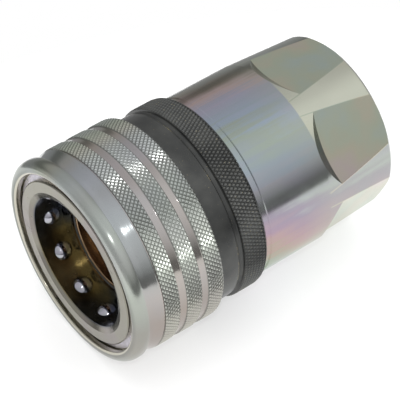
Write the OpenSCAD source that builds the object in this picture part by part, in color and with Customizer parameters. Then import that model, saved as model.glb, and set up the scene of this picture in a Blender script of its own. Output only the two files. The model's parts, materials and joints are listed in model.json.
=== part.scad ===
// Female half of a DN25 ball-lock hydraulic quick coupling, with a screwed safety lock ring.
// Every piece is built along +Z from the mouth plane, then laid down so that the mouth faces -Y.
// The origin is on the axis, where the port thread starts.

/* [Body] */
// Length from the mouth plane to the port face
body_l = 99.7; // [97.7:1:107.7]
// Outer diameter of the rear body
body_d = 60; // [59:0.5:60]
// Outer diameter at the port end, after the slight taper of the wrench end
port_end_d = 56.8; // [56.5:0.1:58]
// Distance across the six wrench flats
flats_af = 54.5; // [53:0.5:55.5]
// Distance from the mouth plane to the front of the wrench flats, at the middle of a flat
flats_z = 76.9; // [75.5:0.1:78]
// Radius of the curved front edge of each flat
flat_edge_r = 42.7; // [38:0.1:48]
// Slope of the wall in front of each flat, from the radial direction
flat_slope = 51; // [40:1:55]
// Angle of the first wrench flat about the axis, from straight up
flat_phase = 51.5; // [0:0.5:60]

/* [Port] */
// Major diameter of the G1 parallel pipe thread
port_thread_d = 33.25; // [33.2:0.01:33.3]
// Full thread length
port_thread_l = 20; // [16:1:22]
// Depth of the countersink at the port face
port_sink = 1.5; // [1:0.1:2]

/* [Sleeve] */
// Outer diameter of the release sleeve
sleeve_d = 66; // [65.5:0.5:68]
// Length of the release sleeve
sleeve_l = 30.9; // [30.5:0.1:31]
// Inner diameter of the sleeve lip
lip_bore_d = 58.4; // [58.2:0.1:58.8]
// Depth of the plain strips between the knurled bands
strip_depth = 0.6; // [0.2:0.1:0.8]
// Rearward travel of the release sleeve
sleeve_travel = 6; // [5:0.5:6]

/* [Socket] */
// Diameter of the socket bore
socket_d = 42.2; // [42:0.1:42.4]
// Depth of the socket bore
socket_z = 11; // [10.8:0.1:11.2]
// Diameter of the sleeve guide, which is also the outer diameter of the nose
guide_d = 53.6; // [53.4:0.1:53.7]
// Number of locking balls
ball_count = 11; // [8:1:12]
// Diameter of a locking ball
ball_d = 7.144; // [7:0.001:7.144]
// Distance from the mouth plane to the ball plane
ball_z = 7.7; // [7.6:0.1:7.8]
// Radius of the ball centres when the balls are locked
ball_ring_r = 23.3; // [23.3:0.05:23.35]
// Outward travel of a ball when the sleeve is pulled back
ball_travel = 1.5; // [1.4:0.05:1.5]
// Angle of the first ball about the axis, from straight up
ball_phase = 1.2; // [0:0.1:32]

/* [Lock ring] */
// Diameter of the plain barrel
barrel_d = 61.4; // [61.2:0.1:61.5]
// Diameter of the knurled flange
flange_d = 63.2; // [62.5:0.1:64]
// Diameter of the ring's screw thread, taken as a plain running fit
ring_thread_d = 56; // [55.8:0.1:56.2]
// Distance from the mouth plane to the front of the knurled flange
flange_z = 39.8; // [39.6:0.1:40.2]
// Distance from the mouth plane to the body shoulder behind the ring
shoulder_z = 48.35; // [48.2:0.05:48.7]

/* [Valve] */
// Outer diameter of the seat tube
seat_tube_d = 30.6; // [30.4:0.1:30.8]
// Inner diameter of the seat tube
seat_bore_d = 28.6; // [28:0.1:28.8]
// Diameter of the poppet stem
stem_d = 8; // [7:0.5:9]
// Rearward travel of the poppet
valve_travel = 8; // [7:0.5:8]

/* [Springs] */
// Wire diameter of the sleeve spring
sleeve_wire_d = 1.6; // [1.4:0.1:1.7]
// Wire diameter of the valve spring
valve_wire_d = 1.6; // [1.4:0.1:1.6]

/* [Hidden] */
$fn = 96;
running_gap = 0.05;
seat_gap = 0.07;
over = 1;

body_r = body_d / 2;
port_r = port_thread_d / 2;
passage_r = 14.5;
chamber_r = 21.5;
chamber_end_z = 67.2;
neck_r = ring_thread_d / 2;
joint_r = 24.5;
joint_z = 28.4;
tail_z = 47.1;
band_step_z = 50.9;
taper_z = 73.8;
port_chamfer = 1.1;
port_z = body_l - port_sink;

guide_r = guide_d / 2;
socket_r = socket_d / 2;
nose_z = 0.8;
lead_in_w = 2;
lead_in_l = 0.7;
mouth_land_z = 4.55;
cage_relief = 0.25;
ball_r = ball_d / 2;
ball_gap = 0.03;
cam_ratio = ball_travel / sleeve_travel;
land_r = max(ball_ring_r + ball_r + ball_gap, guide_r + running_gap);
cam_axis_r = ball_ring_r + ball_r * sqrt(1 + cam_ratio * cam_ratio) + ball_gap;

sleeve_r = sleeve_d / 2;
lip_round = 2.7;
lip_edge_z = 0.5;
bead_z = 3.95;
waist_z = 4.7;
waist_r = sleeve_r - 1.7;
collar_z = 9.3;
band_z = [9.9, 17.7, 25.4];
band_l = [5.2, 5.3, 5.5];
stop_z = 3.7;
stop_recess_r = lip_bore_d / 2 + 0.5;
spring_face_z = 12.7;
skirt_bore_r = 31;

snap_groove_z = 2.5;
snap_groove_r = guide_r - 1.1;
snap_outer_r = 28.9;
snap_gap = 5;
snap_gap_angle = 200;
seat_ring_z = 27.2;
seat_ring_r = 30.4;

barrel_z = 30.1;
ring_groove_z = 34.5;
ring_groove_l = 1.4;
ring_groove_depth = 1.35;

seal_bore_r = 17.3;
seal_lip_r = 16.1;
seal_lip_l = 0.7;
seal_end_z = 15.8;
seat_tube_r = seat_tube_d / 2;
seat_bore_r = seat_bore_d / 2;
seat_tube_z = 11.8;
seat_flange_r = 18;
seat_flange_z = 19.7;
seat_end_z = 22.2;
seat_o_ring_space = 1.8;
valve_bore_r = 20.5;
guide_z = 41.2;
guide_l = 3.5;
guide_rim_r = chamber_r - running_gap;
guide_ring_z = guide_z + guide_l;
guide_ring_l = 1.4;
stem_r = stem_d / 2;
bush_r = stem_r + 1.5;
hub_r = bush_r + 2.5;
hub_l = 7;
web_count = 5;
web_w = 3;
poppet_r = 17;
poppet_nose_z = 16.2;
poppet_back_z = 25.2;
stem_end_z = 51.2;
seal_z1 = seat_flange_z + 0.9;
seal_z2 = seat_flange_z + 2;
seal_floor_r = 13.4;

body_groove_z = 30.2;
body_groove_l = 3.1;
body_groove_r = 22.9;

sleeve_spring_r = 28.9;
sleeve_spring_turns = 4;
valve_spring_r = 10.5;
valve_spring_turns = 3.75;
spring_end_gap = 0.05;
spring_turn_steps = 20;
spring_sides = 8;

BALL_NODES = [for (i = [1:ball_count]) str("locking_ball_", i < 10 ? "0" : "", i)];

// Lays a piece built along +Z down along +Y, with its port thread start at the origin.
module lay() {
    translate([0, -port_z, 0]) rotate([-90, 0, 0]) children();
}

// Turns a piece built along +X to an angle about the axis, measured from straight up.
module at_angle(angle) {
    rotate([0, 0, angle - 90]) children();
}

// Spins an outline of [radius, z] points about the axis.
module spin(outline) {
    rotate_extrude() polygon(outline);
}

// A plain ring between two radii, from z1 to z2.
module ring(r_in, r_out, z1, z2) {
    translate([0, 0, z1]) difference() {
        cylinder(r = r_out, h = z2 - z1);
        translate([0, 0, -over]) cylinder(r = r_in, h = z2 - z1 + 2 * over);
    }
}

// A rubber ring of round section.
module round_ring(centre_r, section_r, z) {
    rotate_extrude() translate([centre_r, z]) circle(r = section_r, $fn = 32);
}

// A coil spring: turns of round wire, with its first and last turn closed.
function coil_rise(t, turns) =
    t < 1 ? 0 : t > turns - 1 ? 1 : (t - 1) / (turns - 2);
function coil_point(t, turns, r, wire_r, z1, z2) =
    let (pitch_drop = 2.1 * wire_r,
         closed = min(t, 1) + max(t - (turns - 1), 0),
         free = z2 - z1 - 2 * wire_r - 2 * pitch_drop)
    [r * cos(360 * t), r * sin(360 * t),
     z1 + wire_r + pitch_drop * closed + free * coil_rise(t, turns)];
function wire_ring(t, turns, r, wire_r, z1, z2) =
    let (c = coil_point(t, turns, r, wire_r, z1, z2))
    [for (s = [0:spring_sides - 1])
        let (b = 360 * s / spring_sides,
             out = r + wire_r * cos(b))
        [out * cos(360 * t), out * sin(360 * t), c[2] + wire_r * sin(b)]];
module coil_spring(turns, r, wire_r, z1, z2) {
    rings = ceil(turns * spring_turn_steps);
    points = [for (i = [0:rings]) each wire_ring(turns * i / rings, turns, r, wire_r, z1, z2)];
    sides = [for (i = [0:rings - 1], s = [0:spring_sides - 1])
        let (n = (s + 1) % spring_sides, a = i * spring_sides, b = a + spring_sides)
        [a + s, b + s, b + n, a + n]];
    first = [[for (s = [0:spring_sides - 1]) s]];
    last = [[for (s = [spring_sides - 1:-1:0]) rings * spring_sides + s]];
    polyhedron(points, concat(sides, first, last), convexity = 10);
}

// The rear body's outline: neck for the lock ring, shoulder, barrel and tapered wrench end.
module rear_body_outline() {
    spin([
        [joint_r, joint_z], [neck_r, joint_z], [neck_r, shoulder_z],
        [body_r - 0.5, shoulder_z], [body_r - 0.3, shoulder_z + 0.2],
        [body_r - 0.3, band_step_z - 0.3], [body_r, band_step_z],
        [body_r, taper_z], [port_end_d / 2, body_l - port_chamfer],
        [port_end_d / 2 - port_chamfer, body_l], [port_r + port_sink, body_l],
        [port_r, port_z], [port_r, port_z - port_thread_l],
        [passage_r, port_z - port_thread_l - 1.2], [passage_r, chamber_end_z + 5],
        [chamber_r, chamber_end_z], [chamber_r, tail_z], [joint_r, tail_z]
    ]);
}

// One wrench flat's cutter: a cone whose wide side leaves the curved, sloping front wall.
module flat_cutter() {
    depth = 4;
    translate([flats_af / 2, 0, flats_z + flat_edge_r]) rotate([0, 90, 0])
        cylinder(r1 = flat_edge_r, r2 = flat_edge_r + depth * tan(flat_slope), h = depth);
}

module rear_body() {
    color("lightsteelblue") lay() difference() {
        rear_body_outline();
        for (i = [0:5]) at_angle(flat_phase + 60 * i) flat_cutter();
    }
}

// The front body's outline: nose, sleeve guide, threaded tail, valve bore, seal bore and socket.
module front_body_outline() {
    spin([
        [socket_r + lead_in_w, nose_z], [guide_r - 0.3, nose_z], [guide_r, nose_z + 0.3],
        [guide_r, snap_groove_z], [snap_groove_r, snap_groove_z],
        [snap_groove_r, stop_z], [guide_r, stop_z], [guide_r, joint_z],
        [joint_r, joint_z], [joint_r, body_groove_z], [body_groove_r, body_groove_z],
        [body_groove_r, body_groove_z + body_groove_l], [joint_r, body_groove_z + body_groove_l],
        [joint_r, tail_z], [chamber_r, tail_z], [chamber_r, guide_ring_z + guide_ring_l],
        [chamber_r + 0.9, guide_ring_z + guide_ring_l], [chamber_r + 0.9, guide_ring_z],
        [chamber_r, guide_ring_z], [chamber_r, guide_z], [valve_bore_r, guide_z],
        [valve_bore_r, seat_end_z], [seat_flange_r, seat_end_z], [seat_flange_r, seat_flange_z],
        [seat_tube_r + seat_o_ring_space, seat_flange_z],
        [seat_tube_r + seat_o_ring_space, seat_flange_z - seat_o_ring_space],
        [seat_tube_r, seat_flange_z - seat_o_ring_space], [seat_tube_r, seal_end_z],
        [seal_bore_r, seal_end_z], [seal_bore_r, socket_z + seal_lip_l],
        [seal_lip_r, socket_z + seal_lip_l], [seal_lip_r, socket_z],
        [socket_r + cage_relief, socket_z], [socket_r + cage_relief, mouth_land_z],
        [socket_r, mouth_land_z], [socket_r, nose_z + lead_in_l]
    ]);
}

// The pocket that holds one ball: round at the bore, so that the ball can't drop out.
module ball_pocket() {
    pocket_r = ball_r + ball_gap;
    translate([ball_ring_r, 0, ball_z]) {
        sphere(r = pocket_r);
        rotate([0, 90, 0]) cylinder(r = pocket_r, h = ball_ring_r);
    }
}

module front_body() {
    color("tan") lay() difference() {
        front_body_outline();
        for (i = [0:ball_count - 1]) at_angle(ball_phase + 360 * i / ball_count) ball_pocket();
    }
}

module body_o_ring() {
    color("dimgray") lay() round_ring(body_groove_r + 0.8, 0.78, body_groove_z + 0.8);
}

module body_backup_ring() {
    color("ivory") lay()
        ring(body_groove_r + 0.05, joint_r - 0.05, body_groove_z + 1.7, body_groove_z + 3);
}

// The sleeve's outline: round lip, waist, collar, three bands, spring skirt, land and ball cam.
module sleeve_outline() {
    strip_r = sleeve_r - strip_depth;
    lip_r = lip_bore_d / 2;
    union() {
        polygon(concat(
            [[lip_r, lip_edge_z], [lip_r + 0.5, 0.1], [sleeve_r - lip_round, 0], [sleeve_r, lip_round],
             [sleeve_r, bead_z], [waist_r, waist_z], [sleeve_r - 0.2, collar_z], [strip_r, collar_z + 0.2]],
            [for (i = [0:2]) each
                [[strip_r, band_z[i] - 0.1], [sleeve_r - 0.1, band_z[i]],
                 [sleeve_r, band_z[i] + 0.2], [sleeve_r, band_z[i] + band_l[i] - 0.4],
                 [sleeve_r - (i == 2 ? 0.4 : 0.2), band_z[i] + band_l[i]],
                 [i == 2 ? skirt_bore_r : strip_r, band_z[i] + band_l[i]]]],
            [[skirt_bore_r, spring_face_z], [land_r, spring_face_z],
             [land_r, ball_z + (cam_axis_r - land_r) / cam_ratio],
             [cam_axis_r + cam_ratio * (ball_z - stop_z), stop_z],
             [stop_recess_r, stop_z], [stop_recess_r, 2.2], [lip_r, 1.8]]));
        intersection() {
            translate([sleeve_r - lip_round, lip_round]) circle(r = lip_round);
            translate([sleeve_r - lip_round, 0]) square(lip_round);
        }
    }
}

module release_sleeve() {
    color("silver") lay() rotate_extrude() sleeve_outline();
}

module sleeve_spring() {
    color("gray") lay()
        coil_spring(sleeve_spring_turns, sleeve_spring_r, sleeve_wire_d / 2,
                    spring_face_z + spring_end_gap, seat_ring_z - spring_end_gap);
}

// A split ring in the nose groove, which stops the sleeve at the front.
module sleeve_snap_ring() {
    color("darkolivegreen") lay() difference() {
        ring(snap_groove_r + 0.02, snap_outer_r, snap_groove_z + 0.02, stop_z - 0.04);
        at_angle(snap_gap_angle) translate([snap_groove_r - over, -snap_gap / 2, 0])
            cube([snap_outer_r, snap_gap, stop_z]);
    }
}

module spring_seat_ring() {
    color("gray") lay() ring(guide_r + 0.02, seat_ring_r, seat_ring_z, joint_z);
}

module lock_ring() {
    bore_r = neck_r + running_gap;
    barrel_r = barrel_d / 2;
    flange_r = flange_d / 2;
    end_z = shoulder_z - running_gap;
    color("dimgray") lay() spin([
        [bore_r + 0.5, barrel_z], [barrel_r - 0.3, barrel_z], [barrel_r, barrel_z + 0.3],
        [barrel_r, flange_z - 1.8], [barrel_r - 0.4, flange_z - 1.4],
        [barrel_r - 0.4, flange_z - 0.4], [flange_r - 0.3, flange_z], [flange_r, flange_z + 0.3],
        [flange_r, end_z - 0.8], [flange_r - 0.8, end_z], [bore_r, end_z],
        [bore_r, ring_groove_z + ring_groove_l],
        [bore_r + ring_groove_depth, ring_groove_z + ring_groove_l],
        [bore_r + ring_groove_depth, ring_groove_z], [bore_r, ring_groove_z],
        [bore_r, barrel_z + 0.5]
    ]);
}

module lock_ring_o_ring() {
    color("black") lay() round_ring(neck_r + 0.68, 0.62, ring_groove_z + ring_groove_l / 2);
}

module seat_tube() {
    color("goldenrod") lay() spin([
        [seat_bore_r, seat_tube_z + 0.2], [seat_bore_r + 0.2, seat_tube_z],
        [seat_tube_r - 0.2, seat_tube_z], [seat_tube_r, seat_tube_z + 0.2],
        [seat_tube_r, seat_flange_z], [seat_flange_r, seat_flange_z],
        [seat_flange_r, seat_end_z], [seat_bore_r + seat_end_z - seat_flange_z, seat_end_z],
        [seat_bore_r, seat_flange_z]
    ]);
}

module seat_tube_o_ring() {
    color("black") lay() round_ring(seat_tube_r + 0.9, 0.88, seat_flange_z - 0.9);
}

module nose_seal() {
    front_z = socket_z + seal_lip_l + 0.05;
    color("black") lay() spin([
        [seat_tube_r + 0.1, front_z + 0.5], [seat_tube_r + 0.6, front_z],
        [seal_bore_r, front_z], [seal_bore_r, socket_z + 3.2],
        [seat_tube_r + 0.1, socket_z + 3.2]
    ]);
}

module seal_backup_ring() {
    color("ivory") lay() ring(seat_tube_r + 0.02, seal_bore_r - 0.02, socket_z + 3.25, seal_end_z - 0.05);
}

// The poppet's sealing cone, just clear of the 45 degree seat.
function seat_cone_r(z) = seat_bore_r - seat_gap + z - seat_flange_z;

// The poppet: dished nose, sealing cone with a seal groove, and a guided stem.
module valve_poppet() {
    color("khaki") lay() spin([
        [0, poppet_nose_z + 1.5], [6, poppet_nose_z + 1.2], [7.5, poppet_nose_z],
        [9, poppet_nose_z], [9.5, poppet_nose_z + 0.5], [10.5, poppet_nose_z + 3.6],
        [seat_cone_r(seat_flange_z + 0.2), seat_flange_z + 0.2],
        [seat_cone_r(seal_z1), seal_z1], [seal_floor_r, seal_z1], [seal_floor_r, seal_z2],
        [seat_cone_r(seal_z2), seal_z2], [poppet_r, seat_end_z + 0.3], [poppet_r, poppet_back_z - 0.6],
        [poppet_r - 0.6, poppet_back_z], [stem_r + 1, poppet_back_z], [stem_r, poppet_back_z + 1],
        [stem_r, stem_end_z - 0.8], [stem_r - 0.8, stem_end_z], [0, stem_end_z]
    ]);
}

module poppet_seal() {
    color("black") lay() spin([
        [seal_floor_r, seal_z1], [seat_cone_r(seal_z1), seal_z1],
        [seat_cone_r(seal_z2), seal_z2], [seal_floor_r, seal_z2]
    ]);
}

module valve_spring() {
    color("gray") lay()
        coil_spring(valve_spring_turns, valve_spring_r, valve_wire_d / 2,
                    poppet_back_z + spring_end_gap, guide_z - spring_end_gap);
}

// The spider that guides the stem: rim, hub and webs with flow windows between them.
module valve_guide() {
    color("slategray") lay() difference() {
        union() {
            ring(guide_rim_r - 2.4, guide_rim_r, guide_z, guide_z + guide_l);
            ring(bush_r, hub_r, guide_z, guide_z + hub_l);
            for (i = [0:web_count - 1]) rotate([0, 0, 360 * i / web_count])
                translate([hub_r - 0.4, -web_w / 2, guide_z])
                    cube([guide_rim_r - hub_r - 1.4, web_w, guide_l]);
        }
        translate([0, 0, guide_z - over]) cylinder(r = bush_r, h = hub_l + 2 * over);
    }
}

module guide_bush() {
    color("peru") lay() ring(stem_r + running_gap, bush_r, guide_z, guide_z + hub_l);
}

// A split ring that holds the guide in the front body.
module guide_retaining_ring() {
    color("gray") lay() difference() {
        ring(chamber_r - 1.9, chamber_r + 0.88, guide_ring_z + 0.02, guide_ring_z + guide_ring_l - 0.02);
        translate([chamber_r - 3, -3, guide_ring_z]) cube([5, 6, guide_ring_l]);
    }
}

module locking_ball(i) {
    color("white") lay() at_angle(ball_phase + 360 * i / ball_count)
        translate([ball_ring_r, 0, ball_z]) sphere(r = ball_r);
}

rear_body();
front_body();
body_o_ring();
body_backup_ring();
release_sleeve();
sleeve_spring();
sleeve_snap_ring();
spring_seat_ring();
lock_ring();
lock_ring_o_ring();
seat_tube();
seat_tube_o_ring();
nose_seal();
seal_backup_ring();
valve_poppet();
poppet_seal();
valve_spring();
valve_guide();
guide_bush();
guide_retaining_ring();
for (i = [0:ball_count - 1])
    locking_ball(i);
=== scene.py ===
import json
import math
import bpy
import numpy as np
from mathutils import Matrix, Vector


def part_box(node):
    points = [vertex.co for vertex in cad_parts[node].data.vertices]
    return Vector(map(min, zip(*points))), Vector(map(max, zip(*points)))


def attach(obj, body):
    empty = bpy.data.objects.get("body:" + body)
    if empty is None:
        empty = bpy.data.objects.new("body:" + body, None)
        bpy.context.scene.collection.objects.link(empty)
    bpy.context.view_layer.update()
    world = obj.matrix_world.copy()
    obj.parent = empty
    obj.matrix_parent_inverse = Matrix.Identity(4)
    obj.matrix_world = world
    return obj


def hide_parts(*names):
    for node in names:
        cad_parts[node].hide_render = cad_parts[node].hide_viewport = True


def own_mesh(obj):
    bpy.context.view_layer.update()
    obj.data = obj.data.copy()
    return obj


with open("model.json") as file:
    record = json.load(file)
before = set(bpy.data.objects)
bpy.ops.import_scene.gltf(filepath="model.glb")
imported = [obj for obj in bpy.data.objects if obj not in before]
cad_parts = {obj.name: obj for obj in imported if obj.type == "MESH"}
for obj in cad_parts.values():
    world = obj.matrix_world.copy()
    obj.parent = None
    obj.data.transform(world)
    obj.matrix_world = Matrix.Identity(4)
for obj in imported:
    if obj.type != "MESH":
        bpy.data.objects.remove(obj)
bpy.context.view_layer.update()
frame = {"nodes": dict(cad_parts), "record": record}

# The coupler lies along Y with its mouth at -Y. Outlines are (radius, distance from the mouth)
# in millimetres, as a turner would draw them. Every mesh is made in metres in the row frame.
MM = 0.001
sleeve_lo, sleeve_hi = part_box("release_sleeve")
ring_lo, ring_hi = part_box("lock_ring")
body_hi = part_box("rear_body")[1]
MOUTH_Y = sleeve_lo.y
SLEEVE_R = sleeve_hi.x / MM
FLANGE_R = ring_hi.x / MM
FLOOR_Z = sleeve_lo.z

# Knurls: grooves round the band, millimetres along the axis for one spacing, and depth of cut.
SLEEVE_STARTS, SLEEVE_WAVE, SLEEVE_CUT = 135, 1.56, 0.34
FLANGE_STARTS, FLANGE_WAVE, FLANGE_CUT = 160, 2.17, 0.36
SEGMENTS_PER_START = 6
# Share of a groove's spacing that the knurling tool leaves uncut on the tip of a diamond.
KNURL_TIP = 0.15


def from_mouth(y):
    """Distance from the mouth plane in millimetres of a row position in metres."""
    return (y - MOUTH_Y) / MM


def row_y(z):
    """Row position in metres of a distance from the mouth plane in millimetres."""
    return MOUTH_Y + z * MM


# ---------------------------------------------------------------- meshes

def new_object(name, verts, faces, smooth_angle=30.0, flat_faces=()):
    """A mesh object with smooth shading up to smooth_angle, and flat shading on flat_faces."""
    mesh = bpy.data.meshes.new(name)
    mesh.from_pydata(verts, [], faces)
    mesh.validate()
    mesh.update()
    smooth = np.ones(len(mesh.polygons), bool)
    smooth[list(flat_faces)] = False
    mesh.polygons.foreach_set("use_smooth", smooth)
    mesh.set_sharp_from_angle(angle=math.radians(smooth_angle))
    obj = bpy.data.objects.new(name, mesh)
    bpy.context.scene.collection.objects.link(obj)
    return obj


def tri(x):
    """1 on a whole number, falling to 0 half way between."""
    return np.abs(x - np.floor(x) - 0.5) * 2


def knurl_cut(angle, z, starts, wavelength, depth):
    """How deep a diamond knurl cuts at an angle and a distance along the axis."""
    turns = starts * angle / (2 * math.pi)
    groove = np.maximum(tri(turns + z / wavelength), tri(turns - z / wavelength))
    return depth * np.clip((groove - KNURL_TIP) / (1 - KNURL_TIP), 0, 1)


class Knurl:
    """One diamond-knurled band between two distances from the mouth."""

    ROWS_PER_WAVE = 6
    END_GAP = 0.08
    EASE_DEPTH, EASE_LENGTH = 0.16, 0.25

    def __init__(self, z0, z1, radius, starts, wavelength, depth):
        self.z0, self.z1, self.radius = z0, z1, radius
        self.starts, self.wavelength, self.depth = starts, wavelength, depth
        step = wavelength / self.ROWS_PER_WAVE
        first = math.ceil((z0 + self.END_GAP) / step)
        last = math.floor((z1 - self.END_GAP) / step)
        self.rows = [z0] + [k * step for k in range(first, last + 1)] + [z1]

    def radii(self, angle, z):
        """The radius at each angle. The band is eased down towards both of its ends."""
        edge = min(z - self.z0, self.z1 - z)
        ease = self.EASE_DEPTH * max(0.0, 1 - edge / self.EASE_LENGTH)
        return self.radius - ease - knurl_cut(angle, z, self.starts, self.wavelength, self.depth)


def lathe(name, outline, segments):
    """Spins a closed outline. Outline entries are (r, z), or a Knurl for a knurled stretch."""
    angle = np.arange(segments) * 2 * math.pi / segments
    rows, knurled = [], []
    for entry in outline:
        if isinstance(entry, Knurl):
            for z in entry.rows:
                rows.append((entry.radii(angle, z), z))
                knurled.append(True)
        else:
            rows.append((np.full(segments, entry[0]), entry[1]))
            knurled.append(False)
    points = np.stack([
        np.stack([r * np.sin(angle) * MM, np.full(segments, row_y(z)), r * np.cos(angle) * MM], 1)
        for r, z in rows])
    count = len(rows)
    faces, flat_faces = [], []
    for k in range(count):
        n = (k + 1) % count
        cut = knurled[k] and knurled[n]
        for s in range(segments):
            t = (s + 1) % segments
            a, b = k * segments + s, n * segments + s
            c, d = n * segments + t, k * segments + t
            if cut:
                flat_faces += [len(faces), len(faces) + 1]
                if (s + k) % 2:
                    faces += [(a, b, c), (a, c, d)]
                else:
                    faces += [(a, b, d), (b, c, d)]
            else:
                faces.append((a, b, c, d))
    return new_object(name, points.reshape(-1, 3).tolist(), faces, flat_faces=flat_faces)


def tube_sweep(name, path, section):
    """Sweeps section(t) offsets [(out, along)] round the axis: path gives (angle, r, z) in mm."""
    verts, faces = [], []
    sides = len(section(0.0))
    count = len(path)
    for i, (ang, r, z) in enumerate(path):
        for out, along in section(i / (count - 1)):
            rr = (r + out) * MM
            verts.append((rr * math.sin(ang), row_y(z + along), rr * math.cos(ang)))
    for i in range(count - 1):
        for s in range(sides):
            n = (s + 1) % sides
            a, b = i * sides, (i + 1) * sides
            faces.append((a + s, a + n, b + n, b + s))
    faces.append(tuple(range(sides))[::-1])
    faces.append(tuple((count - 1) * sides + s for s in range(sides)))
    return new_object(name, verts, faces, smooth_angle=50.0)


def coil(name, turns, mean_r, wire_d, z0, z1):
    """A compression spring with closed ends, between two distances from the mouth."""
    steps, sides = 48, 12
    lead = 1.05 * wire_d
    free = z1 - z0 - wire_d - 2 * lead
    path = []
    for i in range(int(turns * steps) + 1):
        t = i / steps
        closed = min(t, 1) + max(t - (turns - 1), 0)
        rise = min(max((t - 1) / (turns - 2), 0), 1)
        path.append((2 * math.pi * t, mean_r, z0 + wire_d / 2 + lead * closed + free * rise))
    corners = [2 * math.pi * s / sides for s in range(sides)]
    ring = [(wire_d / 2 * math.cos(a), wire_d / 2 * math.sin(a)) for a in corners]
    return tube_sweep(name, path, lambda t: ring)


# ---------------------------------------------------------------- materials

class Mat:
    """A Principled material built from a few named helpers."""

    def __init__(self, name, **sockets):
        self.m = bpy.data.materials.new(name)
        self.m.use_nodes = True
        self.tree = self.m.node_tree
        self.shader = self.tree.nodes["Principled BSDF"]
        for key, value in sockets.items():
            self.shader.inputs[key].default_value = value
        coords = self.tree.nodes.new("ShaderNodeTexCoord")
        self.place = coords.outputs["Object"]
        self.xyz = self.node("ShaderNodeSeparateXYZ", {0: self.place}).outputs

    def node(self, kind, inputs, **props):
        """A node whose inputs are sockets to link or plain values to set."""
        n = self.tree.nodes.new(kind)
        for key, value in props.items():
            setattr(n, key, value)
        for key, value in inputs.items():
            if isinstance(value, bpy.types.NodeSocket):
                self.tree.links.new(value, n.inputs[key])
            else:
                n.inputs[key].default_value = value
        return n

    def math(self, op, a, b=0.0, c=0.0):
        return self.node("ShaderNodeMath", {0: a, 1: b, 2: c}, operation=op).outputs[0]

    def along(self):
        return self.xyz["Y"]

    def angle(self):
        """Angle about the axis in radians, from straight up and growing towards +X."""
        return self.math("ARCTAN2", self.xyz["X"], self.xyz["Z"])

    def radius(self):
        x2 = self.math("MULTIPLY", self.xyz["X"], self.xyz["X"])
        z2 = self.math("MULTIPLY", self.xyz["Z"], self.xyz["Z"])
        return self.math("SQRT", self.math("ADD", x2, z2))

    def around(self, per_radian, per_metre):
        """Noise coordinates on the unrolled surface: angle and distance along the axis."""
        turn = self.math("MULTIPLY", self.angle(), per_radian)
        return self.node("ShaderNodeCombineXYZ", {
            0: turn, 1: self.math("MULTIPLY", self.along(), per_metre)}).outputs[0]

    def noise(self, vector, scale, detail, rough=0.5):
        return self.node("ShaderNodeTexNoise", {
            "Vector": vector, "Scale": scale, "Detail": detail, "Roughness": rough}).outputs["Fac"]

    def ramp(self, fac, stops):
        n = self.node("ShaderNodeValToRGB", {0: fac})
        while len(n.color_ramp.elements) < len(stops):
            n.color_ramp.elements.new(1.0)
        for e, (at, colour) in zip(n.color_ramp.elements, stops):
            e.position = at
            e.color = (*colour, 1)
        return n.outputs[0]

    def mix(self, fac, a, b, blend="MIX"):
        n = self.node("ShaderNodeMix", {0: fac}, data_type="RGBA", blend_type=blend)
        for socket, value in ((n.inputs[6], a), (n.inputs[7], b)):
            if isinstance(value, bpy.types.NodeSocket):
                self.tree.links.new(value, socket)
            else:
                socket.default_value = (*value, 1)
        return n.outputs[2]

    def span(self, value, lo, hi, to_lo=0.0, to_hi=1.0):
        """Goes from to_lo to to_hi while a value goes from lo to hi, and no further."""
        return self.node("ShaderNodeMapRange", {0: value, 1: lo, 2: hi, 3: to_lo, 4: to_hi}).outputs[0]

    def feed(self, socket, value):
        self.tree.links.new(value, self.shader.inputs[socket])

    def bump(self, height, strength, distance):
        """Adds relief on top of what an earlier call gave."""
        n = self.node("ShaderNodeBump", {"Strength": strength, "Distance": distance, "Height": height})
        socket = self.shader.inputs["Normal"]
        if socket.is_linked:
            self.tree.links.new(socket.links[0].from_socket, n.inputs["Normal"])
        self.tree.links.new(n.outputs[0], socket)

    def turned(self, scale, strength, distance=0.00002, stretch=0.0):
        """Fine turning marks that run round the axis. Stretch draws highlights out along the axis."""
        if stretch:
            self.shader.inputs["Anisotropic"].default_value = stretch
            self.shader.inputs["Anisotropic Rotation"].default_value = 0.25
            tangent = self.node("ShaderNodeTangent", {}, direction_type="RADIAL", axis="Y")
            self.feed("Tangent", tangent.outputs[0])
        lengthwise = self.math("MULTIPLY", self.along(), scale)
        marks = self.node("ShaderNodeCombineXYZ", {0: lengthwise, 1: self.angle()}).outputs[0]
        self.bump(self.noise(marks, 1.0, 3.0), strength, distance)


# Added to an angle about the axis in radians, so that its cosine peaks at the mouth's lower left, where the
# lip is given painted shade and the socket painted light.
LOWER_LEFT = 2.5

# Tints round the rear body, by angle in degrees from straight up: pink, lilac, blue, green, straw. The dark
# olive-brown stops at -40 and -29 degrees are a painted reflection of the dim upper left.
PASSIVATION_AND_REFLECTION = [
    (-180, (0.43, 0.44, 0.38)), (-158, (0.38, 0.43, 0.46)), (-133, (0.44, 0.38, 0.45)),
    (-108, (0.50, 0.39, 0.38)), (-83, (0.45, 0.45, 0.36)), (-61, (0.34, 0.38, 0.36)),
    (-40, (0.27, 0.28, 0.25)), (-29, (0.32, 0.28, 0.22)), (-18, (0.56, 0.43, 0.42)),
    (-8, (0.42, 0.41, 0.51)), (2, (0.40, 0.42, 0.52)), (12, (0.36, 0.43, 0.52)), (22, (0.37, 0.43, 0.37)),
    (37, (0.35, 0.41, 0.46)), (52, (0.42, 0.42, 0.47)), (63, (0.42, 0.45, 0.44)), (72, (0.33, 0.29, 0.36)),
    (83, (0.38, 0.28, 0.35)), (92, (0.45, 0.30, 0.31)), (102, (0.42, 0.335, 0.26)),
    (112, (0.32, 0.39, 0.29)), (130, (0.37, 0.44, 0.45)), (148, (0.42, 0.40, 0.45)),
    (165, (0.47, 0.39, 0.40)), (180, (0.43, 0.44, 0.38))]
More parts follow.
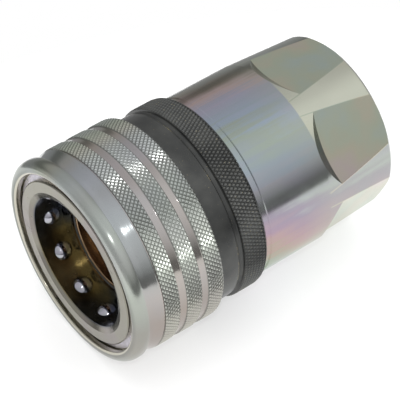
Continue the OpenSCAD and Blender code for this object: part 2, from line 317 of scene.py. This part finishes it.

# Tints and painted light and shade round the sleeve, by angle in degrees from straight up, multiplied in:
# straw, lilac and blue on its upper side, and pink lower down. As painted light and shade they also make it
# lighter from about -8 to 62 degrees and darker from 82 to 130 degrees.
SLEEVE_TINTS_AND_SHADE = [
    (-180, (0.90, 0.90, 0.87)), (-60, (0.85, 0.87, 0.86)), (-39, (0.81, 0.85, 0.84)),
    (-28, (0.84, 0.88, 0.78)), (-18, (1.0, 0.97, 0.90)), (-8, (1.02, 1.05, 1.09)), (2, (1.08, 1.10, 1.17)),
    (12, (1.0, 1.01, 1.03)), (26, (1.04, 1.08, 1.10)), (52, (1.10, 1.12, 1.10)), (62, (1.08, 1.12, 1.07)),
    (72, (0.98, 0.99, 0.97)), (82, (0.85, 0.85, 0.83)), (92, (0.76, 0.73, 0.69)), (112, (0.79, 0.74, 0.69)),
    (130, (0.85, 0.83, 0.80)), (180, (0.90, 0.90, 0.87))]


def bright_zinc(tints_y, taper_y, flat_r, first_flat):
    """Zinc plate with a clear passivation. Its tints follow PASSIVATION_AND_REFLECTION at tints_y and twist slowly."""
    m = Mat("bright_zinc", Metallic=1.0)
    turns_per_metre = -1.39
    twist = m.math("MULTIPLY_ADD", m.along(), turns_per_metre, 0.5 - turns_per_metre * tints_y)
    streaks = m.noise(m.around(14.0, 14.0), 1.0, 4.0, 0.6)
    clouds = m.noise(m.place, 55.0, 3.0)
    waver = m.math("ADD", m.span(streaks, 0.3, 0.7, -0.016, 0.016), m.span(clouds, 0.3, 0.7, -0.02, 0.02))
    turn = m.math("MULTIPLY", m.angle(), 0.5 / math.pi)
    phase = m.math("FRACT", m.math("ADD", m.math("ADD", turn, twist), waver))
    # The ramp gives the passivation tints and the painted reflection on the upper left.
    tint_and_shading = m.ramp(phase, [((deg + 180) / 360, colour) for deg, colour in PASSIVATION_AND_REFLECTION])
    tint_and_shading = m.mix(m.span(streaks, 0.4, 0.7, 0.0, 0.25), tint_and_shading, (0.36, 0.37, 0.36))

    # The wrench end is greener. The land between the two upper flats is made paler there: a painted
    # highlight.
    greener = m.span(m.along(), taper_y - 0.0109, taper_y + 0.0001, 0.0, 0.4)
    tint_and_shading = m.mix(greener, tint_and_shading, (0.41, 0.44, 0.38))
    upper = m.span(m.math("COSINE", m.math("SUBTRACT", m.angle(), math.radians(21.5))), 0.9, 0.97)
    tapered = m.span(m.along(), taper_y - 0.0002, taper_y + 0.0002, 0.0, 0.8)
    tint_and_shading = m.mix(m.math("MULTIPLY", upper, tapered), tint_and_shading, (0.62, 0.63, 0.51))

    # The milled flats are those points that lie flat_r from the axis, square to the nearest flat.
    start = m.math("SUBTRACT", m.angle(), first_flat - math.pi / 6)
    folded = m.math("FLOORED_MODULO", start, math.pi / 3)
    across = m.math("MULTIPLY", m.radius(), m.math("COSINE", m.math("SUBTRACT", folded, math.pi / 6)))
    level = m.math("COMPARE", across, flat_r, 0.00008)
    on_flat = m.math("MULTIPLY", level, m.math("GREATER_THAN", m.along(), taper_y - 0.0002))
    milled = m.ramp(clouds, [
        (0.30, (0.44, 0.51, 0.47)), (0.45, (0.47, 0.51, 0.41)), (0.56, (0.52, 0.50, 0.40)),
        (0.70, (0.54, 0.47, 0.45))])
    m.feed("Base Color", m.mix(on_flat, tint_and_shading, milled))
    m.feed("Roughness", m.span(m.noise(m.place, 160.0, 4.0), 0.3, 0.7, 0.13, 0.20))
    m.turned(7000.0, 0.06, stretch=0.5)
    return m.m


def satin_zinc(bead_y, band_y, lip_tip, recess_r):
    """Turned zinc plate: greenish lip, grey collar, green-grey knurls and pinkish strips, with painted light
    and shade on the lip, the collar, the knurls' grooves and the bore inside the lip, and round the sleeve
    by angle.
    """
    m = Mat("satin_zinc", Metallic=1.0)
    floor_r = (SLEEVE_R - SLEEVE_CUT) * MM
    on_bead = m.math("LESS_THAN", m.along(), bead_y)
    banded = m.math("GREATER_THAN", m.along(), band_y)
    knurled = m.math("GREATER_THAN", m.radius(), floor_r - 0.00014)
    on_knurl = m.math("MULTIPLY", knurled, banded)

    # Past about 57 to 74 degrees from straight up the collar turns pinker: a painted reflection of the
    # floor.
    collar = m.mix(m.span(m.angle(), 1.0, 1.3), (0.40, 0.415, 0.42), (0.44, 0.405, 0.39))
    # Painted shade on the lip: darker towards the mouth's lower left and towards its inner edge at the tip.
    low = m.span(m.math("COSINE", m.math("ADD", m.angle(), LOWER_LEFT)), -0.3, 0.5, 0.0, 0.8)
    face_shade = m.span(m.radius(), lip_tip, lip_tip + 0.0012, 0.7, 0.0)
    lip = m.mix(m.math("MAXIMUM", low, face_shade), (0.40, 0.42, 0.385), (0.19, 0.20, 0.18))
    front = m.mix(on_bead, collar, lip)
    colour = m.mix(banded, front, m.mix(knurled, (0.44, 0.40, 0.38), (0.60, 0.62, 0.58)))

    drift = m.noise(m.around(1.3, 60.0), 1.5, 3.0)
    colour = m.mix(m.span(drift, 0.4, 0.65, 0.0, 0.35), colour, (0.41, 0.40, 0.42))
    turn = m.math("MULTIPLY_ADD", m.angle(), 0.5 / math.pi, 0.5)
    # Multiplies in the sleeve's tints and its painted light and shade by angle.
    tint_and_shading = m.ramp(turn, [((deg + 180) / 360, shade) for deg, shade in SLEEVE_TINTS_AND_SHADE])
    colour = m.mix(1.0, colour, tint_and_shading, "MULTIPLY")
    grime = m.noise(m.place, 900.0, 5.0, 0.65)
    colour = m.mix(m.span(grime, 0.60, 0.76, 0.0, 0.3), colour, (0.22, 0.22, 0.20))
    # Painted shade: the knurl is darkened towards the floor of its grooves.
    groove = m.math("MULTIPLY", on_knurl, m.span(m.radius(), floor_r + 0.00002, floor_r + 0.00018, 0.7, 0.0))
    colour = m.mix(groove, colour, (0.13, 0.13, 0.12))
    # Painted light: the bore inside the lip is made a pale olive so that it looks lit.
    recess_painted_light = m.math("MULTIPLY", m.math("LESS_THAN", m.radius(), recess_r), on_bead)
    m.feed("Base Color", m.mix(recess_painted_light, colour, (0.54, 0.52, 0.44)))

    smooth = m.span(m.noise(m.place, 260.0, 4.0), 0.3, 0.7, 0.12, 0.17)
    smooth = m.math("MULTIPLY_ADD", on_bead, 0.06, smooth)
    m.feed("Roughness", m.math("MULTIPLY_ADD", on_knurl, 0.11, smooth))
    m.turned(1600.0, 0.15, 0.0001, stretch=0.6)
    return m.m


def black_oxide(edge_y):
    """Blackened steel, with brassy specks where the knurl and the barrel's edge have been rubbed."""
    m = Mat("black_oxide", Metallic=0.75)
    crest_r = FLANGE_R * MM
    cloud = m.noise(m.place, 140.0, 4.0)
    colour = m.mix(m.span(cloud, 0.35, 0.7), (0.060, 0.062, 0.061), (0.096, 0.098, 0.094))
    tips = m.span(m.radius(), crest_r - 0.00022, crest_r - 0.00004)
    colour = m.mix(tips, colour, (0.15, 0.155, 0.15))
    specks = m.noise(m.place, 2600.0, 2.0)
    raised = m.span(m.radius(), crest_r - 0.00025, crest_r - 0.00005, 0.0, 0.08)
    at_edge = m.math("COMPARE", m.along(), edge_y, 0.00012)
    rubbed = m.math("MULTIPLY", at_edge, m.span(cloud, 0.45, 0.55, 0.0, 0.22))
    worn = m.span(m.math("ADD", m.math("ADD", specks, raised), rubbed), 0.71, 0.77)
    m.feed("Base Color", m.mix(worn, colour, (0.36, 0.31, 0.18)))
    m.feed("Roughness", m.span(cloud, 0.3, 0.7, 0.27, 0.38))
    m.turned(9000.0, 0.12)
    return m.m


def cage_chromate(nose_y, bore_r, guide_r):
    """Chromate in the socket with painted light and shade: navy, turning olive-brown towards the mouth's
    lower left. Grey on the nose ring, and pale on the outer guide.
    """
    m = Mat("yellow_chromate", Metallic=1.0)
    drift = m.noise(m.around(1.6, 60.0), 1.3, 2.0)
    # Painted light and shade: the socket turns from navy to olive-brown towards the mouth's lower left.
    low = m.math("COSINE", m.math("ADD", m.angle(), LOWER_LEFT))
    shade = m.math("ADD", low, m.span(drift, 0.3, 0.7, -0.12, 0.12))
    inside = m.ramp(shade, [
        (0.50, (0.09, 0.10, 0.125)), (0.76, (0.11, 0.11, 0.095)), (0.88, (0.21, 0.175, 0.09)),
        (1.0, (0.27, 0.22, 0.11))])
    near_mouth = m.span(m.along(), nose_y - 0.0002, nose_y + 0.0002, 1.0, 0.0)
    nose = m.math("MULTIPLY", near_mouth, m.span(m.radius(), bore_r, bore_r + 0.0002))
    pale = m.mix(m.span(drift, 0.4, 0.6), (0.27, 0.26, 0.215), (0.27, 0.245, 0.23))
    colour = m.mix(nose, inside, pale)
    behind = m.math("GREATER_THAN", m.along(), nose_y)
    guide = m.math("MULTIPLY", m.math("GREATER_THAN", m.radius(), guide_r), behind)
    m.feed("Base Color", m.mix(guide, colour, (0.62, 0.60, 0.50)))
    m.feed("Roughness", m.span(m.noise(m.place, 300.0, 4.0), 0.3, 0.7, 0.18, 0.28))

    # The lead-in cone looks steeper than the solid's, so that it mirrors the socket.
    cone = m.span(m.radius(), bore_r, bore_r + 0.002, -0.0012, 0.0)
    m.bump(m.math("MULTIPLY", cone, m.math("LESS_THAN", m.along(), nose_y + 0.0001)), 1.0, 1.0)
    m.turned(9000.0, 0.1, stretch=0.7)
    return m.m


def gold_chromate():
    """Polished golden chromate, browner where it is thicker."""
    m = Mat("gold_chromate", Metallic=1.0)
    drift = m.noise(m.around(1.5, 90.0), 1.5, 3.0)
    m.feed("Base Color", m.mix(m.span(drift, 0.35, 0.65), (0.36, 0.25, 0.15), (0.24, 0.155, 0.095)))
    m.feed("Roughness", m.span(m.noise(m.place, 300.0, 3.0), 0.3, 0.7, 0.17, 0.28))
    m.turned(8000.0, 0.1)
    return m.m


def ball_chrome():
    """Polished bearing steel with a trace of oil film."""
    m = Mat("ball_chrome", Metallic=1.0)
    film = m.noise(m.place, 500.0, 3.0)
    m.feed("Base Color", m.mix(m.span(film, 0.4, 0.7), (0.44, 0.43, 0.50), (0.38, 0.40, 0.41)))
    m.feed("Roughness", m.span(film, 0.3, 0.7, 0.04, 0.13))
    return m.m


def steel(name, light, dark):
    """Drawn or stamped spring steel."""
    m = Mat(name, Metallic=1.0)
    m.feed("Base Color", m.mix(m.span(m.noise(m.place, 700.0, 4.0), 0.35, 0.65), light, dark))
    m.feed("Roughness", m.span(m.noise(m.place, 400.0, 3.0), 0.3, 0.7, 0.24, 0.38))
    m.bump(m.noise(m.place, 5000.0, 2.0), 0.15, 0.00002)
    return m.m


def soft(name, light, dark, rough):
    """Moulded rubber, PTFE or sintered bronze: a fine even grain."""
    m = Mat(name)
    m.feed("Base Color", m.mix(m.span(m.noise(m.place, 900.0, 4.0), 0.35, 0.65), light, dark))
    m.feed("Roughness", m.span(m.noise(m.place, 600.0, 3.0), 0.3, 0.7, rough - 0.08, rough + 0.08))
    m.bump(m.noise(m.place, 4000.0, 3.0), 0.25, 0.00003)
    return m.m


finish = {
    "bright_zinc": bright_zinc(tints_y=row_y(55.04), taper_y=row_y(73.8), flat_r=27.25 * MM,
                               first_flat=math.radians(51.5)),
    "satin_zinc": satin_zinc(bead_y=row_y(3.95), band_y=row_y(9.6), lip_tip=30.4 * MM, recess_r=29.85 * MM),
    "black_oxide": black_oxide(edge_y=row_y(37.95)),
    "yellow_chromate": cage_chromate(nose_y=row_y(1.45), bore_r=21.12 * MM, guide_r=25.5 * MM),
    "gold_chromate": gold_chromate(),
    "ball_chrome": ball_chrome(),
    "spring_steel": steel("spring_steel", (0.5, 0.5, 0.51), (0.36, 0.36, 0.37)),
    "dark_spring_steel": steel("dark_spring_steel", (0.54, 0.51, 0.57), (0.42, 0.40, 0.44)),
    "nitrile": soft("nitrile", (0.018, 0.018, 0.018), (0.03, 0.03, 0.03), 0.5),
    "ptfe": soft("ptfe", (0.82, 0.81, 0.77), (0.72, 0.71, 0.66), 0.45),
    "bronze": soft("bronze", (0.42, 0.26, 0.12), (0.3, 0.17, 0.08), 0.4),
}
slot_of = {s["node"]: s["material_slot"] for s in frame["record"]["subparts"]}


def dress(obj, slot):
    """Gives a piece the finish of a material slot."""
    obj.data.materials.clear()
    obj.data.materials.append(finish[slot])


def add_piece(obj, body, slot, *nodes):
    """A new piece rides a body, takes a slot's finish and may replace CAD nodes."""
    dress(obj, slot)
    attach(obj, body)
    if nodes:
        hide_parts(*nodes)
    return obj


for node_name, obj in frame["nodes"].items():
    dress(obj, slot_of[node_name])


# ---------------------------------------------------------------- pieces

def arc(centre_r, centre_z, size_r, size_z, start, end, steps):
    """Points on an elliptical arc. 0 degrees points to the mouth and 90 degrees outward."""
    angles = np.radians(np.linspace(start, end, steps))
    return [(centre_r + size_r * math.sin(a), centre_z - size_z * math.cos(a)) for a in angles]


def release_sleeve():
    """The sleeve: round lip, waist, flared collar, three knurled bands, inner land and skirt."""
    r = SLEEVE_R
    rear = from_mouth(sleeve_hi.y)
    bore, tip, strip, skirt = 29.2, 30.4, r - 0.6, 31.0
    bands = [Knurl(z0, z1, r, SLEEVE_STARTS, SLEEVE_WAVE, SLEEVE_CUT)
             for z0, z1 in ((9.9, 15.1), (17.7, 23.0), (25.4, rear - 0.4))]
    # Lip, from its bore over the tip to the bead's rear edge.
    outline = [(bore, 1.9), (bore, 1.1)] + arc(tip, 0.55, tip - bore, 0.55, -90, 0, 7)
    outline += arc(tip, 2.9, r - tip, 2.9, 6, 90, 15)
    outline += [(r, 3.88), (r - 0.04, 3.95), (r - 1.3, 4.4), (r - 1.68, 4.65)]
    # Collar: a fillet, then a cone.
    outline += [(r - 1.7 + 0.39 * t ** 2.2, 4.7 + 2.0 * t) for t in np.linspace(0.1, 1, 9)]
    outline += [(r - 1.3 + 1.08 * t ** 1.04, 6.72 + 2.46 * t) for t in np.linspace(0.1, 1, 7)]
    outline += [(r - 0.26, 9.32), (strip, 9.5), (strip, 9.8), bands[0]]
    # Each strip rises to the next band in a small fillet.
    fillet = 0.35
    for last, band in zip(bands, bands[1:]):
        outline += [(strip, last.z1 + 0.06), (strip, last.z1 + 0.5), (strip, last.z1 + 1.3)]
        outline += [(strip + fillet * (1 - math.cos(a)), band.z0 - 0.46 + fillet * math.sin(a))
                    for a in np.radians(np.linspace(0, 60, 7))]
        outline += [band]
    # Rear edge, then forwards inside: skirt, land, taper over the balls and snap ring groove.
    outline += [(r - 0.42, rear - 0.1), (r - 0.55, rear), (skirt + 0.2, rear), (skirt, rear - 0.2)]
    outline += [(skirt, 25.2), (skirt, 18.2), (skirt, 12.9), (skirt - 0.2, 12.7), (27.1, 12.7)]
    outline += [(26.92, 12.5), (26.92, 8.1), (27.98, 3.72), (28.1, 3.7)]
    outline += [(29.6, 3.7), (29.7, 3.6), (29.7, 2.2)]
    return lathe("release_sleeve_knurled", outline, SLEEVE_STARTS * SEGMENTS_PER_START)


def lock_ring():
    """The black ring: plain barrel, cove and finely knurled flange."""
    r = FLANGE_R
    front, rear = from_mouth(ring_lo.y), from_mouth(ring_hi.y)
    bore, barrel = 28.06, 30.7
    groove_floor, groove_z0, groove_z1 = bore + 1.3, 34.5, 35.9
    outline = [(bore + 0.5, front), (barrel - 0.3, front), (barrel - 0.08, front + 0.08)]
    outline += [(barrel, front + 0.3)]
    outline += [(barrel, z) for z in np.linspace(front + 2, 37.8, 5)]
    outline += [(barrel - 0.03, 37.98), (barrel - 0.36, 38.35), (barrel - 0.4, 38.6), (barrel - 0.4, 39.25),
                (barrel - 0.33, 39.5), (barrel - 0.1, 39.68), (r - 0.45, 39.75), (r - 0.3, 39.82)]
    outline += [Knurl(39.95, 47.5, r, FLANGE_STARTS, FLANGE_WAVE, FLANGE_CUT)]
    outline += [(r - 0.22, 47.62), (r - 0.35, 47.8), (r - 0.78, rear - 0.03), (r - 0.9, rear)]
    outline += [(bore, rear), (bore, 43.2)]
    outline += [(bore, groove_z1), (groove_floor, groove_z1), (groove_floor, groove_z0), (bore, groove_z0),
                (bore, front + 0.5)]
    return lathe("lock_ring_knurled", outline, FLANGE_STARTS * SEGMENTS_PER_START)


def port_thread():
    """The G1 female thread: a rounded Whitworth ridge that fades out over a part of a turn at each end."""
    major, height, pitch, length = 16.64, 1.45, 2.309, 19.5
    fade_first, fade_last = 0.5, 0.8
    end = from_mouth(body_hi.y) - 1.4
    steps = 72
    count = int(length / pitch * steps)
    path = [(2 * math.pi * i / steps, major, end - pitch * i / steps) for i in range(count + 1)]

    def section(t):
        turns = count / steps
        fade = min(1.0, t * turns / fade_first, (1 - t) * turns / fade_last)
        h = height * max(fade, 0.02)
        half = pitch * 0.46
        return [(0.03, -half), (-h * 0.35, -half * 0.68), (-h * 0.86, -half * 0.30), (-h, -half * 0.12),
                (-h, half * 0.12), (-h * 0.86, half * 0.30), (-h * 0.35, half * 0.68), (0.03, half)]

    return tube_sweep("port_thread_ridge", path, section)


add_piece(release_sleeve(), "sleeve", "satin_zinc", "release_sleeve")
add_piece(lock_ring(), "lock_ring_body", "black_oxide", "lock_ring")
add_piece(port_thread(), "body", "bright_zinc")


def spring(name, node, body, turns, mean_r, wire_d):
    """A coil in place of a CAD spring."""
    lo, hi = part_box(node)
    z0, z1 = from_mouth(lo.y), from_mouth(hi.y)
    obj = add_piece(coil(name, turns, mean_r, wire_d, z0, z1), body, "spring_steel", node)
    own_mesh(obj)


spring("sleeve_spring_coil", "sleeve_spring", "body",
       turns=4, mean_r=28.9, wire_d=1.6)
spring("valve_spring_coil", "valve_spring", "body",
       turns=3.75, mean_r=10.5, wire_d=1.6)


# ---------------------------------------------------------------- stage, light and camera

AZIMUTH, ELEVATION = math.radians(52.4), math.radians(47.1)
FOCAL_MM, SENSOR_MM = 171.0, 36.0
# Where the middle of the mouth lies in front of the camera: right, up and deep.
MOUTH_SEEN = Vector((-0.03745, -0.01894, 0.5530))
FLOOR_CENTRE, FLOOR_R, FLOOR_GAP = (0.15, -0.1), 0.27, 0.0002
# The middle of the coupler, which the lamps face.
AIM = Vector((0, -0.04, 0))

right = Vector((math.cos(AZIMUTH), math.sin(AZIMUTH), 0))
forward = Vector((-math.sin(AZIMUTH) * math.cos(ELEVATION), math.cos(AZIMUTH) * math.cos(ELEVATION),
                  -math.sin(ELEVATION)))
up = right.cross(forward)


def make_camera():
    data = bpy.data.cameras.new("camera")
    data.lens, data.sensor_width = FOCAL_MM, SENSOR_MM
    data.clip_start, data.clip_end = 0.05, 10
    cam = bpy.data.objects.new("camera", data)
    bpy.context.scene.collection.objects.link(cam)
    mouth = Vector((0, MOUTH_Y, 0))
    place = mouth - right * MOUTH_SEEN.x - up * MOUTH_SEEN.y - forward * MOUTH_SEEN.z
    cam.matrix_world = Matrix.Translation(place) @ Matrix((right, up, -forward)).transposed().to_4x4()
    bpy.context.scene.camera = cam


def make_floor():
    """A pale round sheet that the coupler lies on. Its middle is off to the right."""
    sides = 64
    corners = [2 * math.pi * i / sides for i in range(sides)]
    verts = [(FLOOR_CENTRE[0] + FLOOR_R * math.cos(a), FLOOR_CENTRE[1] + FLOOR_R * math.sin(a),
              FLOOR_Z - FLOOR_GAP) for a in corners]
    floor = new_object("floor", verts, [tuple(range(sides))])
    m = Mat("floor_paper", Roughness=0.8)
    cloud = m.span(m.noise(m.place, 30.0, 3.0), 0.3, 0.7)
    m.feed("Base Color", m.mix(cloud, (0.86, 0.86, 0.86), (0.88, 0.88, 0.88)))
    floor.data.materials.append(m.m)


def sky_ramp(tree, height, stops):
    """A grey for each height of a direction: 0 straight down, 0.5 level and 1 straight up."""
    ramp = tree.nodes.new("ShaderNodeValToRGB")
    while len(ramp.color_ramp.elements) < len(stops):
        ramp.color_ramp.elements.new(1.0)
    for e, (at, grey) in zip(ramp.color_ramp.elements, stops):
        e.position = at
        e.color = (grey, grey, grey, 1)
    tree.links.new(height, ramp.inputs[0])
    return ramp.outputs[0]


def blend(tree, value, lo, hi, below, above):
    """Fades from one colour to another while a value goes from lo to hi."""
    fade = tree.nodes.new("ShaderNodeMapRange")
    fade.interpolation_type = "SMOOTHSTEP"
    fade.inputs["From Min"].default_value = lo
    fade.inputs["From Max"].default_value = hi
    mixed = tree.nodes.new("ShaderNodeMix")
    mixed.data_type = "RGBA"
    tree.links.new(value, fade.inputs["Value"])
    tree.links.new(fade.outputs[0], mixed.inputs[0])
    tree.links.new(below, mixed.inputs[6])
    tree.links.new(above, mixed.inputs[7])
    return mixed.outputs[2]


def make_world():
    """Reflections see a dim left, a bright right with a dark horizon, and a pale front."""
    world = bpy.data.worlds.new("studio")
    world.use_nodes = True
    bpy.context.scene.world = world
    tree = world.node_tree
    coords = tree.nodes.new("ShaderNodeTexCoord")
    parts = tree.nodes.new("ShaderNodeSeparateXYZ")
    height = tree.nodes.new("ShaderNodeMath")
    height.operation = "MULTIPLY_ADD"
    height.inputs[1].default_value = 0.5
    height.inputs[2].default_value = 0.5
    tree.links.new(coords.outputs["Generated"], parts.inputs[0])
    tree.links.new(parts.outputs["Z"], height.inputs[0])
    left = sky_ramp(tree, height.outputs[0], [
        (0.0, 0.38), (0.41, 0.38), (0.474, 0.22), (0.544, 0.25), (0.63, 0.50), (0.77, 0.56),
        (0.88, 0.62), (0.94, 0.70), (1.0, 0.80)])
    right_side = sky_ramp(tree, height.outputs[0], [
        (0.0, 1.0), (0.43, 1.0), (0.438, 0.22), (0.53, 0.24), (0.57, 0.38), (0.68, 0.69),
        (0.81, 0.90), (0.905, 0.95), (1.0, 0.85)])
    front = sky_ramp(tree, height.outputs[0], [
        (0.0, 0.85), (0.44, 0.85), (0.48, 0.62), (0.60, 0.62), (0.80, 0.70), (1.0, 0.80)])
    sides = blend(tree, parts.outputs["X"], -0.25, 0.25, left, right_side)
    walls = blend(tree, parts.outputs["Y"], -0.75, -0.35, front, sides)
    path = tree.nodes.new("ShaderNodeLightPath")
    choose = tree.nodes.new("ShaderNodeMix")
    choose.data_type = "RGBA"
    choose.inputs[7].default_value = (1, 1, 1, 1)
    tree.links.new(path.outputs["Is Camera Ray"], choose.inputs[0])
    tree.links.new(walls, choose.inputs[6])
    tree.links.new(choose.outputs[2], tree.nodes["Background"].inputs[0])


def make_light(name, direction, distance, size, power, mirrored=True):
    """A disc lamp that faces the object. If it isn't mirrored, it leaves no reflection and no shadow."""
    data = bpy.data.lights.new(name, "AREA")
    data.shape = "DISK"
    data.size, data.energy = size, power
    data.use_shadow = mirrored
    lamp = bpy.data.objects.new(name, data)
    bpy.context.scene.collection.objects.link(lamp)
    way = Vector(direction).normalized()
    lamp.location = AIM + way * distance
    lamp.rotation_mode = "QUATERNION"
    lamp.rotation_quaternion = way.to_track_quat("Z", "Y")
    lamp.visible_glossy = mirrored


make_camera()
make_floor()
make_world()
make_light("overhead_softbox", (-0.2, 0.1, 1.0), distance=0.9, size=1.1, power=8.0, mirrored=False)
make_light("flash", up * 0.07 - forward, distance=0.62, size=0.02, power=0.26)

bpy.context.scene.view_settings.view_transform = "Standard"
